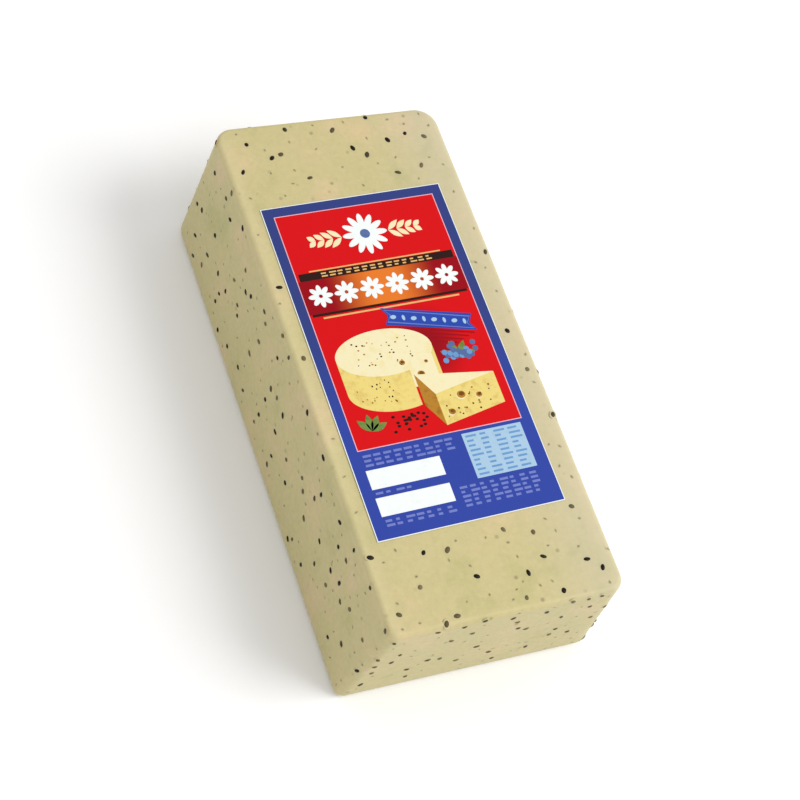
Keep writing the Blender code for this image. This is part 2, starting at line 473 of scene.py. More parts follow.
def cheese_material(loaf):
    """Return the pale cheese under tight clear film: soft patches, fine grain, slight glow, and painted sheen
    of the light on the top.
    """
    material, tree, shader = start_material("pale_cheese", CHEESE_FINISH)
    shader.inputs["Subsurface Weight"].default_value = GLOW_SHARE
    shader.inputs["Subsurface Radius"].default_value = GLOW_RADII
    shader.inputs["Subsurface Scale"].default_value = GLOW_DEPTH
    tint = add_tint(tree, CHEESE_FINISH, loaf.colour, loaf.warm, loaf.cool)
    # The top gets its painted sheen and painted reflection of the light
    with_painted_sheen = film_haze(tree, tint["Color"], loaf)
    join_surface(tree, shader, CHEESE_FINISH, buried_flecks(tree, with_painted_sheen, loaf.fleck), tint["Grain"])
    return material


def seed_fade_group():
    """Return the group that tells how far a grain shows and how veiled it is, built once."""
    name = "seed_fade"
    if name in bpy.data.node_groups:
        return bpy.data.node_groups[name]
    tree, given = start_group(name, "ShaderNodeTree", {"Fade Start": "Float", "Fade End": "Float"},
                              {"Shown": "Float", "Veil": "Float"})
    crown, veil = (add_node(tree, "ShaderNodeAttribute", attribute_type="GEOMETRY",
                            attribute_name=key).outputs["Fac"] for key in ("crown", "veil"))
    shown = ramp(tree, crown, given["Fade Start"], given["Fade End"])
    add_node(tree, "NodeGroupOutput", {"Shown": shown, "Veil": veil})
    return tree


def add_seed_fade(tree, fade):
    """Place the shared fade group in a material and return its outputs."""
    return add_node(tree, "ShaderNodeGroup", {"Fade Start": fade[0], "Fade End": fade[1]},
                    node_tree=seed_fade_group()).outputs


def seed_material(name, seeds, loaf, fade):
    """Return the seeds' finish: near black where bare, greyer under cheese, fading out at the rim."""
    material, tree, shader = start_material(name, SEED_FINISH)
    grain = add_seed_fade(tree, fade)
    skin = mixed_colour(tree, grain["Veil"], seeds.dark, seeds.veiled)
    # The rim fades into the cheese's colour with its painted sheen and painted reflection of the light
    edged = mixed_colour(tree, grain["Shown"], film_haze(tree, loaf.colour, loaf), skin)
    tint = add_tint(tree, SEED_FINISH, edged, edged, edged)
    join_surface(tree, shader, SEED_FINISH, tint["Color"], tint["Grain"])
    return material


def shade_material(seeds, loaf):
    """Return the finish of the soft shade round a seed, which fades into the cheese at its rim."""
    material, tree, shader = start_material("seed_shade", SHADE_FINISH)
    grain = add_seed_fade(tree, SHADE_FADE)
    share = calculated(tree, "MULTIPLY", grain["Shown"], calculated(tree, "SUBTRACT", 1.0, grain["Veil"]))
    # The rim fades into the cheese's colour with its painted sheen and painted reflection of the light
    colour = mixed_colour(tree, share, film_haze(tree, loaf.colour, loaf), seeds.shade)
    tint = add_tint(tree, SHADE_FINISH, colour, colour, colour)
    join_surface(tree, shader, SHADE_FINISH, tint["Color"], tint["Grain"])
    return material


def blend(first, second, share):
    """Return a colour part of the way from one to another."""
    return tuple(a + (b - a) * share for a, b in zip(first, second))


def ink_material(name, colour, shade=None, gradient=None):
    """Return an ink's finish; a gradient, where given, is a function that returns its colour socket."""
    material, tree, shader = start_material(name, INK_FINISH)
    if gradient:
        colour = gradient(tree)
        shade = colour
    elif shade is None:
        shade = dimmed(colour, INK_DIM)
    tint = add_tint(tree, INK_FINISH, colour, shade, shade)
    join_surface(tree, shader, INK_FINISH, tint["Color"], tint["Grain"])
    return material


def add_piece(name, mesh, material, slot, *replaced):
    """Link a finished mesh as a piece of the object that rides on its body."""
    if material is not None:
        mesh.materials.clear()
        mesh.materials.append(material)
    piece = bpy.data.objects.new(name, mesh)
    bpy.context.scene.collection.objects.link(piece)
    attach(piece, BODY)
    if replaced:
        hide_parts(*replaced)


def mesh_from(builder, name, smooth_angle=None):
    """Turn a bmesh into a mesh with its faces pointing outwards, and free the bmesh."""
    bmesh.ops.recalc_face_normals(builder, faces=builder.faces)
    mesh = bpy.data.meshes.new(name)
    builder.to_mesh(mesh)
    builder.free()
    if smooth_angle is not None:
        mesh.shade_smooth()
        mesh.set_sharp_from_angle(angle=smooth_angle)
    return mesh


def realized_mesh(name, start, tree, values):
    """Run a Geometry Nodes tree on a start mesh and return the plain mesh that it makes."""
    holder = bpy.data.objects.new(name, start)
    bpy.context.scene.collection.objects.link(holder)
    modifier = holder.modifiers.new(name, "NODES")
    modifier.node_group = tree
    for item in tree.interface.items_tree:
        if item.item_type == "SOCKET" and item.in_out == "INPUT" and item.name in values:
            modifier[item.identifier] = values[item.name]
    bpy.context.view_layer.update()
    depsgraph = bpy.context.evaluated_depsgraph_get()
    mesh = bpy.data.meshes.new_from_object(holder.evaluated_get(depsgraph), preserve_all_data_layers=True,
                                           depsgraph=depsgraph)
    holder.modifiers.remove(modifier)
    bpy.data.objects.remove(holder)
    bpy.data.meshes.remove(start)
    if not mesh.polygons:
        raise RuntimeError(f"the tree for {name} made no faces")
    mesh.name = name
    return mesh


def sharp_corners(loaf, width, height):
    """Return the loaf's four corners at one level before rounding, anticlockwise from above."""
    near_end = -loaf.length / 2
    far_end = loaf.length / 2 - loaf.far_undercut * (1 - height / LOAF_HEIGHT)
    corners = []
    for side, end in CORNER_SIGNS:
        x = side * width / 2
        y = far_end if end > 0 else near_end
        corners.append(Vector((x, y - loaf.end_skew * x, height)))
    return corners


def seeded_faces(loaf):
    """Return the top and then the four sides, each as four corners, anticlockwise from outside."""
    base = sharp_corners(loaf, loaf.base_width, 0.0)
    top = sharp_corners(loaf, loaf.top_width, LOAF_HEIGHT)
    faces = [top]
    for i in range(4):
        j = (i + 1) % 4
        faces.append([base[i], base[j], top[j], top[i]])
    return faces


def round_edges(builder, chosen, radius, steps):
    """Round the edges for which chosen(one end, other end) is true."""
    edges = [edge for edge in builder.edges if chosen(*(vert.co for vert in edge.verts))]
    bmesh.ops.bevel(builder, geom=edges, offset=radius, segments=steps, profile=0.5,
                    affect="EDGES", clamp_overlap=True)


def upright_at(side, end):
    """Return the test for the upright edge at one of the loaf's corners."""
    def chosen(first, second):
        middle = (first + second) / 2
        tall = abs(first.z - second.z) > LOAF_HEIGHT / 2
        return tall and middle.x * side > 0 and middle.y * end > 0

    return chosen


def cut_into_cells(builder, low, high, cell):
    """Cut the mesh by planes across each axis, a cell apart, so that its flat faces can swell."""
    for axis in range(3):
        span = high[axis] - low[axis]
        cuts = max(1, round(span / cell))
        normal = Vector([1.0 if axis == other else 0.0 for other in range(3)])
        for step in range(1, cuts):
            point = normal * (low[axis] + span * step / cuts)
            everything = builder.verts[:] + builder.edges[:] + builder.faces[:]
            bmesh.ops.bisect_plane(builder, geom=everything, plane_co=point, plane_no=normal,
                                   dist=FLAT_TOLERANCE)


def swell_faces(builder, relief, span):
    """Press the surface in by soft noise, least near the base so that it stands flat."""
    builder.normal_update()
    moves = []
    for vert in builder.verts:
        depth = relief * (0.5 + 0.5 * noise.noise(vert.co / span))
        rise = min(1.0, vert.co.z / span)
        moves.append(vert.normal * -depth * rise)
    for vert, move in zip(builder.verts, moves):
        vert.co += move


def build_loaf(loaf):
    """Return the loaf's mesh: a drafted block with rounded edges and slightly uneven faces."""
    builder = bmesh.new()
    base = [builder.verts.new(point) for point in sharp_corners(loaf, loaf.base_width, 0.0)]
    top = [builder.verts.new(point) for point in sharp_corners(loaf, loaf.top_width, LOAF_HEIGHT)]
    builder.faces.new(list(reversed(base)))
    builder.faces.new(top)
    for i in range(4):
        j = (i + 1) % 4
        builder.faces.new((base[i], base[j], top[j], top[i]))
    for (side, end), radius in zip(CORNER_SIGNS, loaf.upright_radii):
        round_edges(builder, upright_at(side, end), radius, UPRIGHT_STEPS)
    above = LOAF_HEIGHT - FLAT_TOLERANCE
    round_edges(builder, lambda a, b: min(a.z, b.z) > above, loaf.top_radius, RIM_STEPS)
    round_edges(builder, lambda a, b: max(a.z, b.z) < FLAT_TOLERANCE, loaf.base_radius, RIM_STEPS)
    half_width = loaf.base_width / 2
    half_length = loaf.length / 2 + loaf.end_skew * half_width
    low = (-half_width, -half_length, 0.0)
    high = (half_width, half_length, LOAF_HEIGHT)
    cut_into_cells(builder, low, high, loaf.cell)
    swell_faces(builder, loaf.relief, loaf.relief_span)
    return builder


def near_label(point, loaf, margin):
    """Tell whether a point on the top lies under the label or close beside it."""
    middle = (LABEL_LOW + LABEL_HIGH) / 2
    across = abs(point.x - middle.x) - (LABEL_HIGH.x - LABEL_LOW.x) / 2
    along = abs(point.y - middle.y) - (LABEL_HIGH.y - LABEL_LOW.y) / 2
    over_side = point.z < LOAF_HEIGHT - loaf.top_radius
    return not over_side and max(across, along) < margin


def place_along(cell, cells, wander, length, seeds):
    """Return a place along an edge, as a share of its length, turned back at the edge's ends."""
    low = seeds.edge / length
    high = 1 - low
    share = (cell + 0.5 + seeds.jitter * wander) / cells
    if share < low:
        return 2 * low - share
    return 2 * high - share if share > high else share


def seed_places(surface, loaf, seeds, pitches, draw_number, taken):
    """Return spot, normal, turn, length and width for each seed: a wandering grid over every face."""
    draw = random.Random(draw_number)
    places = []
    for pitch, (a, b, c, d) in zip(pitches, seeded_faces(loaf)):
        outward = (b - a).cross(d - a).normalized()
        columns = round((b - a).length / pitch)
        rows = round((d - a).length / pitch)
        for cell in range(rows * columns):
            u = place_along(cell % columns, columns, draw.uniform(-0.5, 0.5), (b - a).length, seeds)
            v = place_along(cell // columns, rows, draw.uniform(-0.5, 0.5), (d - a).length, seeds)
            turn = draw.uniform(0, math.pi)
            length = draw.uniform(seeds.shortest, seeds.longest)
            width = draw.uniform(seeds.narrowest, seeds.widest)
            start = a.lerp(b, u).lerp(d.lerp(c, u), v)
            spot, normal, _, _ = surface.ray_cast(start + outward * LOAF_HEIGHT, -outward)
            if spot is None or spot.z < seeds.foot or near_label(spot, loaf, seeds.label_margin):
                continue
            if any((spot - other[0]).length < seeds.spacing for other in places + taken):
                continue
            places.append((spot, normal, turn, length, width))
    return places


def draw_veil(draw, seeds, normal):
    """Return how much cheese covers a proud seed: none for some, more for those of the two ends."""
    bare = draw.random() < seeds.bare_share
    veil = draw.uniform(0.0, PROUD_VEIL)
    if abs(normal.y) > END_SLOPE:
        return max(seeds.end_veil, veil)
    return 0.0 if bare else veil


def seed_points(name, places, thickness, sink, veils):
    """Return a mesh of points that carry each seed's long axis, outward axis, size and veil."""
    mesh = bpy.data.meshes.new(name)
    mesh.from_pydata([spot - normal * sink for spot, normal, *_ in places], [], [])
    columns = {"along": [], "outward": [], "size": []}
    for _, normal, turn, length, width in places:
        side = normal.cross(SKEW_AXIS).normalized()
        columns["along"].extend(Matrix.Rotation(turn, 3, normal) @ side)
        columns["outward"].extend(normal)
        columns["size"].extend((width, thickness, length))
    for key, values in columns.items():
        mesh.attributes.new(key, "FLOAT_VECTOR", "POINT").data.foreach_set("vector", values)
    mesh.attributes.new("veil", "FLOAT", "POINT").data.foreach_set("value", veils)
    return mesh


def seed_tree():
    """Return the Geometry Nodes that stand a grain on every point, turned and sized by its attributes."""
    name = "grains_on_points"
    if name in bpy.data.node_groups:
        return bpy.data.node_groups[name]
    tree, given = start_group(name, "GeometryNodeTree",
                              {"Geometry": "Geometry", "Sides": "Int", "Rings": "Int", "Unevenness": "Float",
                               "Draw": "Float", "Material": "Material"}, {"Geometry": "Geometry"})
    ball = add_node(tree, "GeometryNodeMeshUVSphere",
                    {"Segments": given["Sides"], "Rings": given["Rings"], "Radius": 0.5})
    local = add_node(tree, "ShaderNodeSeparateXYZ",
                     {0: add_node(tree, "GeometryNodeInputPosition").outputs[0]})
    crown = calculated(tree, "MULTIPLY", local.outputs["Y"], 2.0)
    crowned = add_node(tree, "GeometryNodeStoreNamedAttribute",
                       {"Geometry": ball.outputs["Mesh"], "Name": "crown", "Value": crown},
                       data_type="FLOAT", domain="POINT")
    along, outward, size = (add_node(tree, "GeometryNodeInputNamedAttribute", {"Name": key},
                                     data_type="FLOAT_VECTOR").outputs[0]
                            for key in ("along", "outward", "size"))
    turned = add_node(tree, "FunctionNodeAxesToRotation", {"Primary Axis": along, "Secondary Axis": outward},
                      primary_axis="Z", secondary_axis="Y")
    placed = add_node(tree, "GeometryNodeInstanceOnPoints",
                      {"Points": given["Geometry"], "Instance": crowned.outputs[0],
                       "Rotation": turned.outputs[0], "Scale": size})
    real = add_node(tree, "GeometryNodeRealizeInstances", {"Geometry": placed.outputs[0]})
    wobble = add_node(tree, "ShaderNodeTexNoise", {"W": given["Draw"], "Scale": WOBBLE_SCALE, "Detail": 1.0},
                      noise_dimensions="4D")
    centred = add_node(tree, "ShaderNodeVectorMath", {0: wobble.outputs["Color"], 1: (0.5, 0.5, 0.5)},
                       operation="SUBTRACT")
    offset = add_node(tree, "ShaderNodeVectorMath", {0: centred.outputs[0], "Scale": given["Unevenness"]},
                      operation="SCALE")
    shaped = add_node(tree, "GeometryNodeSetPosition",
                      {"Geometry": real.outputs[0], "Offset": offset.outputs[0]})
    finish_tree(tree, shaped.outputs[0], given["Material"])
    return tree


def finish_tree(tree, geometry, material):
    """End a Geometry Nodes tree by setting its material."""
    coloured = add_node(tree, "GeometryNodeSetMaterial", {"Geometry": geometry, "Material": material})
    add_node(tree, "NodeGroupOutput", {"Geometry": coloured.outputs[0]})


def add_grains(name, places, thickness, sink, veils, unevenness, material, number):
    """Add one piece of seeds at the given places."""
    points = seed_points(name, places, thickness, sink, veils)
    values = {"Sides": GRAIN_SIDES, "Rings": GRAIN_RINGS, "Unevenness": unevenness, "Draw": float(number),
              "Material": material}
    mesh = realized_mesh(name, points, seed_tree(), values)
    mesh.shade_smooth()
    add_piece(name, mesh, None, CHEESE_SLOT, BLOCK_NODE)


def rectangle(left, top, right, bottom):
    """Return the outline of a rectangle in label millimetres."""
    return [(left, top), (right, top), (right, bottom), (left, bottom)]


def arc(x, y, across, down, start, end, steps=40):
    """Return points along an ellipse's arc; angles are in degrees and turn from right towards down."""
    points = []
    for step in range(steps + 1):
        angle = math.radians(start + (end - start) * step / steps)
        points.append((x + across * math.cos(angle), y + down * math.sin(angle)))
    return points


def dot(x, y, across, down):
    """Return the outline of a whole ellipse."""
    return arc(x, y, across, down, 0, 345, 23)


def leaf(x, y, length, width, angle):
    """Return the outline of a pointed leaf that starts at a point and runs at an angle in degrees."""
    turn = math.radians(angle)
    points = []
    for side in (1, -1):
        for step in range(9):
            share = step / 9 if side == 1 else 1 - step / 9
            bulge = side * width / 2 * math.sin(math.pi * share)
            points.append((x + share * length * math.cos(turn) - bulge * math.sin(turn),
                           y + share * length * math.sin(turn) + bulge * math.cos(turn)))
    return points


def shifted(outline, across, down):
    """Return an outline moved across and down."""
    return [(x + across, y + down) for x, y in outline]


class PrintJob:
    """Collects the label's printed shapes by ink and turns each ink into one piece."""

    def __init__(self, label):
        """Start with no shapes; the paper's top is the lowest layer."""
        self.label = label
        self.paper_top = LOAF_HEIGHT + PAPER_GAP + label.paper_depth
        self.builders = {}

    def height(self, layer):
        """Return the height of a layer's upper face."""
        return self.paper_top + self.label.ink_step * layer

    def point(self, x, y, z):
        """Return the place in the frame of a point in label millimetres."""
        return Vector((LABEL_LOW.x + x / MM, LABEL_HIGH.y - y / MM, z))

    def lay(self, ink, outline, layer):
        """Add one shape of an ink, as a low prism that reaches up to its layer."""
        builder = self.builders.setdefault(ink, bmesh.new())
        low = self.height(0) - self.label.ink_step
        rings = []
        for z in (low, self.height(layer)):
            rings.append([builder.verts.new(self.point(x, y, z)) for x, y in outline])
        count = len(outline)
        builder.faces.new(rings[0])
        builder.faces.new(list(reversed(rings[1])))
        for i in range(count):
            j = (i + 1) % count
            builder.faces.new((rings[0][j], rings[0][i], rings[1][i], rings[1][j]))

    def finish(self, materials):
        """Make a piece of each ink with its material."""
        for ink, builder in self.builders.items():
            add_piece(f"label_{ink}", mesh_from(builder, ink), materials[ink], PRINT_SLOT)


class MirroredJob:
    """Lays shapes on a print job with left and right exchanged."""

    def __init__(self, job):
        """Keep the job that takes the shapes."""
        self.job = job

    def lay(self, ink, outline, layer):
        """Add one shape of an ink, mirrored about the label's middle line."""
        self.job.lay(ink, [(LABEL_ACROSS - x, y) for x, y in outline], layer)


def lay_fields(job):
    """Lay the label's fields: blue ground, pale inner line, red field and lower boxes."""
    right = LABEL_ACROSS - BORDER
    line = INNER_LINE
    job.lay("blue", rectangle(MARGIN, MARGIN, LABEL_ACROSS - MARGIN, LABEL_DOWN - MARGIN), 1)
    job.lay("pink", rectangle(BORDER, BORDER, right, PANEL_TOP), 2)
    job.lay("red", rectangle(BORDER + line, BORDER + line, right - line, PANEL_TOP - line), 3)
    for box in WHITE_BOXES:
        job.lay("white", rectangle(*box), 2)
    job.lay("sky", rectangle(*SKY_BOX), 2)


def lay_title(job):
    """Lay the title band with its dark and gold rules."""
    middle = LABEL_ACROSS / 2
    inside = BORDER + INNER_LINE
    for ink, half, top, bottom in RULES:
        job.lay(ink, rectangle(middle - half, top, middle + half, bottom), 4)
    job.lay("title", rectangle(inside, BAND[0], LABEL_ACROSS - inside, BAND[1]), 4)


def lay_crest(job):
    """Lay a plain crest over the title band: leaves either side of a flower's eye."""
    middle, eye = LABEL_ACROSS / 2, 2.6
    first, pitch, longest, shrink, width, lean = 12.5, 4.6, 8.2, 1.1, 2.8, 38
    for side, forwards in ((-1, 180), (1, 0)):
        for step in range(4):
            start = middle + side * (first + pitch * step)
            for angle in (forwards - lean * side, forwards + lean * side):
                job.lay("cream", leaf(start, CREST_LEVEL, longest - shrink * step, width, angle), 4)
    job.lay("slate", dot(middle, CREST_LEVEL, eye, eye), 6)


def lay_ribbon(job):
    """Lay the plain tilted ribbon with notched ends, pale edge lines and dots."""
    start, end, top, rise, width, notch, dots = 10.0, 55.0, 75.8, 11.5, 9.6, 2.6, 8
    for ink, inset, layer in (("bright_blue", 0.0, 5), ("haze", 1.2, 6), ("bright_blue", 1.7, 7)):
        left, right = start + inset, end - inset
        job.lay(ink, [(left, top + inset), (right, top - rise + inset),
                      (right - notch, top - rise + width / 2), (right, top - rise + width - inset),
                      (left, top + width - inset), (left + notch, top + width / 2)], layer)
    for step in range(dots):
        share = (step + 1) / (dots + 1)
        x = start + share * (end - start)
        y = top + width / 2 - share * rise
        job.lay("sky", dot(x, y, 1.5, 1.1) if step % 2 else dot(x, y, 0.8, 1.5), 8)


def scatter_in(draw, corner, first, second, count):
    """Return points drawn at random inside a parallelogram."""
    places = []
    for _ in range(count):
        u, v = draw.uniform(0.08, 0.92), draw.uniform(0.1, 0.9)
        places.append((corner[0] + u * first[0] + v * second[0], corner[1] + u * first[1] + v * second[1]))
    return places


def lay_hole(job, x, y, size, layer):
    """Lay one hole in a cut face: amber with a darker hollow and a pale lower lip."""
    job.lay("cream", dot(x + 0.15 * size, y + 0.2 * size, size * 1.05, size * 0.95), layer)
    job.lay("amber", dot(x, y, size, size * 0.88), layer + 1)
    job.lay("rind", dot(x - 0.12 * size, y - 0.15 * size, size * 0.62, size * 0.5), layer + 2)


def lay_specks(job, places, ink, growth, shape, layer):
    """Lay specks of three sizes, every other one black."""
    for number, (x, y) in enumerate(places):
        size = 0.34 + growth * (number % 3)
        job.lay("black" if number % 2 else ink, dot(x, y, shape[0] * size, shape[1] * size), layer)


def lay_wheel(job, draw):
    """Lay a round cheese with a wedge taken out, its cut face holed and seeded."""
    x, y, across, down, wall = 61.0, 88.0, 25.0, 12.5, 19.0
    opening = (112, 158)
    edge_right = arc(x, y, across, down, 0, opening[0])
    edge_left = arc(x, y, across, down, opening[1], 180, 8)
    far = arc(x, y, across, down, opening[1], opening[1], 1)[0]
    job.lay("cream", [(x, y), far, (far[0], far[1] + wall), (x, y + wall)], 4)
    job.lay("yellow", edge_right + list(reversed(shifted(edge_right, 0, wall))), 5)
    job.lay("yellow", edge_left + list(reversed(shifted(edge_left, 0, wall))), 5)
    job.lay("cream", arc(x, y, across, down, opening[1], 360 + opening[0], 60) + [(x, y)], 6)
    cut = (far[0] - x, far[1] - y)
    for u, v, size in ((0.3, 0.3, 1.5), (0.62, 0.62, 1.9), (0.82, 0.25, 1.0)):
        lay_hole(job, x + u * cut[0], y + u * cut[1] + v * wall, size, 5)
    lay_specks(job, scatter_in(draw, (x - 16, y - 9), (34, 0), (0, 17), 34), "amber", 0.10, (1.0, 0.8), 7)
    lay_specks(job, scatter_in(draw, (x, y + 13), (22, -4), (0, wall - 3), 22), "amber", 0.08, (0.85, 1.0), 6)


def lay_wedge(job, draw):
    """Lay a cut wedge in front of the round cheese."""
    tip, far, near, wall = (10.5, 108.5), (50.5, 102.5), (43.5, 114.5), 17.0
    lowered = [(px, py + wall) for px, py in (tip, far, near)]
    job.lay("yellow", [tip, near, lowered[2], lowered[0]], 7)
    job.lay("amber", [near, far, lowered[1], lowered[2]], 7)
    job.lay("cream", [tip, far, near], 8)
    for u, v, size in ((0.35, 0.5, 1.6), (0.62, 0.3, 2.2), (0.85, 0.68, 1.8)):
        level = tip[1] + u * (near[1] - tip[1]) + v * wall
        lay_hole(job, tip[0] + u * (near[0] - tip[0]), level, size, 8)
    edge = (near[0] - tip[0], near[1] - tip[1])
    lay_specks(job, scatter_in(draw, tip, edge, (0, wall), 20), "rind", 0.08, (1.0, 1.0), 9)


def lay_garnish(job, draw):
    """Lay the leaves, berries and loose seeds round the cheese."""
    for angle in (-165, -120, -75, -30):
        job.lay("green", leaf(24.5, 98.0, 10.0, 3.8, angle), 5)
    for number, (px, py) in enumerate(scatter_in(draw, (13, 88.5), (21, 0), (0, 11.5), 26)):
        layer = 6 + 0.12 * number
        job.lay("mist" if number % 3 == 0 else "slate", dot(px, py, 1.45, 1.45), layer)
    for angle in (-160, -125, -90, -50):
        job.lay("green", leaf(80.5, 127.0, 9.0, 3.6, angle), 7)
    for number, (px, py) in enumerate(scatter_in(draw, (50, 121), (22, 0), (0, 10), 22)):
        job.lay("black", dot(px, py, 0.9, 0.7), 5 + 0.05 * number)
    for step in range(4):
        x, y = 12.0 + 3.5 * step, 86.0 + 1.2 * step
        job.lay("deep_red", [(x, y), (x + 22, y - 6), (x + 22, y - 5.3), (x, y + 0.7)], 4)


def rosette_tree():
    """Return the Geometry Nodes that make a row of petalled rosettes of ink."""
    name = "rosette_row"
    if name in bpy.data.node_groups:
        return bpy.data.node_groups[name]
    tree, given = start_group(name, "GeometryNodeTree",
                              {"Geometry": "Geometry", "Count": "Int", "Start": "Vector", "Spacing": "Float",
                               "Petals": "Int", "Inner Radius": "Float", "Petal Length": "Float",
                               "Petal Width": "Float", "Ink Depth": "Float", "Material": "Material"},
                              {"Geometry": "Geometry"})
    half = add_node(tree, "ShaderNodeMath", {0: given["Petal Length"], 1: 0.5, 2: given["Inner Radius"]},
                    operation="MULTIPLY_ADD")
    outwards = add_node(tree, "ShaderNodeCombineXYZ", {"X": half.outputs[0]})
    size = add_node(tree, "ShaderNodeCombineXYZ",
                    {"X": given["Petal Length"], "Y": given["Petal Width"], "Z": given["Ink Depth"]})
    disc = add_node(tree, "GeometryNodeMeshCylinder", {"Vertices": 20, "Radius": 0.5, "Depth": 1.0})
    petal = add_node(tree, "GeometryNodeTransform",
                     {"Geometry": disc.outputs["Mesh"], "Translation": outwards.outputs[0],
                      "Scale": size.outputs[0]})
    hub = add_node(tree, "GeometryNodeMeshLine", {"Count": given["Petals"], "Offset": (0.0, 0.0, 0.0)})
    index = add_node(tree, "GeometryNodeInputIndex").outputs[0]
    parity = calculated(tree, "MODULO", index, 2.0)
    lift = calculated(tree, "MULTIPLY", calculated(tree, "MULTIPLY", parity, given["Ink Depth"]), 0.25)
    raised = add_node(tree, "ShaderNodeCombineXYZ", {"Z": lift})
    layered = add_node(tree, "GeometryNodeSetPosition",
                       {"Geometry": hub.outputs[0], "Offset": raised.outputs[0]})
    step = calculated(tree, "DIVIDE", math.tau, given["Petals"])
    euler = add_node(tree, "ShaderNodeCombineXYZ", {"Z": calculated(tree, "MULTIPLY", index, step)})
    turn = add_node(tree, "FunctionNodeEulerToRotation", {0: euler.outputs[0]})
    flower = add_node(tree, "GeometryNodeInstanceOnPoints",
                      {"Points": layered.outputs[0], "Instance": petal.outputs[0],
                       "Rotation": turn.outputs[0]})
    pitch = add_node(tree, "ShaderNodeCombineXYZ", {"X": given["Spacing"]})
    row = add_node(tree, "GeometryNodeMeshLine",
                   {"Count": given["Count"], "Start Location": given["Start"], "Offset": pitch.outputs[0]})
    placed = add_node(tree, "GeometryNodeInstanceOnPoints",
                      {"Points": row.outputs[0], "Instance": flower.outputs[0]})
    real = add_node(tree, "GeometryNodeRealizeInstances", {"Geometry": placed.outputs[0]})
    finish_tree(tree, real.outputs[0], given["Material"])
    return tree


def dash_tree():
    """Return the Geometry Nodes that make rows of plain dashes of ink, each of a drawn length."""
    name = "dash_rows"
    if name in bpy.data.node_groups:
        return bpy.data.node_groups[name]
    tree, given = start_group(name, "GeometryNodeTree",
                              {"Geometry": "Geometry", "Start": "Vector", "Columns": "Int", "Rows": "Int",
                               "Column Pitch": "Float", "Row Pitch": "Float", "Dash Height": "Float",
                               "Ink Depth": "Float", "Draw": "Int", "Material": "Material"},
                              {"Geometry": "Geometry"})
    across = add_node(tree, "ShaderNodeCombineXYZ", {"X": given["Column Pitch"]})
    down = add_node(tree, "ShaderNodeCombineXYZ",
                    {"Y": calculated(tree, "MULTIPLY", given["Row Pitch"], -1.0)})
    line = add_node(tree, "GeometryNodeMeshLine", {"Count": given["Columns"], "Offset": across.outputs[0]})
    rows = add_node(tree, "GeometryNodeMeshLine",
                    {"Count": given["Rows"], "Start Location": given["Start"], "Offset": down.outputs[0]})
    copies = add_node(tree, "GeometryNodeInstanceOnPoints",
                      {"Points": rows.outputs[0], "Instance": line.outputs[0]})
    points = add_node(tree, "GeometryNodeRealizeInstances", {"Geometry": copies.outputs[0]})
    block = add_node(tree, "GeometryNodeMeshCube", {"Size": (1.0, 1.0, 1.0)})
    from_left = add_node(tree, "GeometryNodeTransform",
                         {"Geometry": block.outputs["Mesh"], "Translation": (0.5, 0.0, 0.0)})
    share = add_node(tree, "FunctionNodeRandomValue",
                     {2: DASH_SHARES[0], 3: DASH_SHARES[1], "Seed": given["Draw"]}, data_type="FLOAT")
    length = calculated(tree, "MULTIPLY", share.outputs[1], given["Column Pitch"])
    size = add_node(tree, "ShaderNodeCombineXYZ",
                    {"X": length, "Y": given["Dash Height"], "Z": given["Ink Depth"]})
    placed = add_node(tree, "GeometryNodeInstanceOnPoints",
                      {"Points": points.outputs[0], "Instance": from_left.outputs[0],
                       "Scale": size.outputs[0]})
    real = add_node(tree, "GeometryNodeRealizeInstances", {"Geometry": placed.outputs[0]})
    finish_tree(tree, real.outputs[0], given["Material"])
    return tree


def add_tree_print(job, name, tree, start, layer, material, values):
    """Add a printed piece made by a Geometry Nodes tree; it starts at a point in label millimetres."""
    depth = job.label.ink_step * INK_DEPTH
    inputs = {"Start": job.point(*start, job.height(layer) - depth / 2), "Ink Depth": depth,
              "Material": material, **values}
    mesh = realized_mesh(name, bpy.data.meshes.new(name), tree, inputs)
    add_piece(name, mesh, None, PRINT_SLOT)


def add_rosettes(job, name, start, layer, material, count, pitch, petals, hub, petal):
    """Add a row of rosettes; its start, pitch, hub and petal's length and width are in label millimetres."""
    values = {"Count": count, "Spacing": pitch / MM, "Petals": petals, "Inner Radius": hub / MM,
              "Petal Length": petal[0] / MM, "Petal Width": petal[1] / MM}
    add_tree_print(job, name, rosette_tree(), start, layer, material, values)


def add_dashes(job, name, start, layer, material, counts, pitches, height, draw):
    """Add rows of dashes; their start, pitches and height are in label millimetres."""
    values = {"Columns": counts[0], "Rows": counts[1], "Column Pitch": pitches[0] / MM,
              "Row Pitch": pitches[1] / MM, "Dash Height": height / MM, "Draw": draw}
    add_tree_print(job, name, dash_tree(), start, layer, material, values)


def title_glow(label):
    """Return the function that colours the title band: orange in the middle, deep red at the ends."""
    middle = (LABEL_LOW.x + LABEL_HIGH.x) / 2
    half = (LABEL_HIGH.x - LABEL_LOW.x) / 2

    def gradient(tree):
        share = axis_share(tree, "X", *(half * part for part in GLOW_SPAN), middle)
        return mixed_colour(tree, share, label.orange, label.deep_red)

    return gradient


def border_fade(label):
    """Return the function that colours the blue ground: navy at the top, blue from the panel down."""
    def gradient(tree):
        share = axis_share(tree, "Y", *(LABEL_LOW.y + height for height in NAVY_SPAN))
        return mixed_colour(tree, share, label.blue, label.navy)

    return gradient


def field_shade(label):
    """Return the function that colours the red field: deeper red behind the ribbon's lower side."""
    across, down = SHADE_FOCUS
    focus = (LABEL_HIGH.x - across, LABEL_HIGH.y - down, LABEL_HIGH.z)

    def gradient(tree):
        apart = add_node(tree, "ShaderNodeVectorMath", {0: object_position(tree), 1: focus},
                         operation="DISTANCE")
        share = ramp(tree, apart.outputs["Value"], *SHADE_REACH)
        return mixed_colour(tree, share, label.deep_red, label.red)

    return gradient


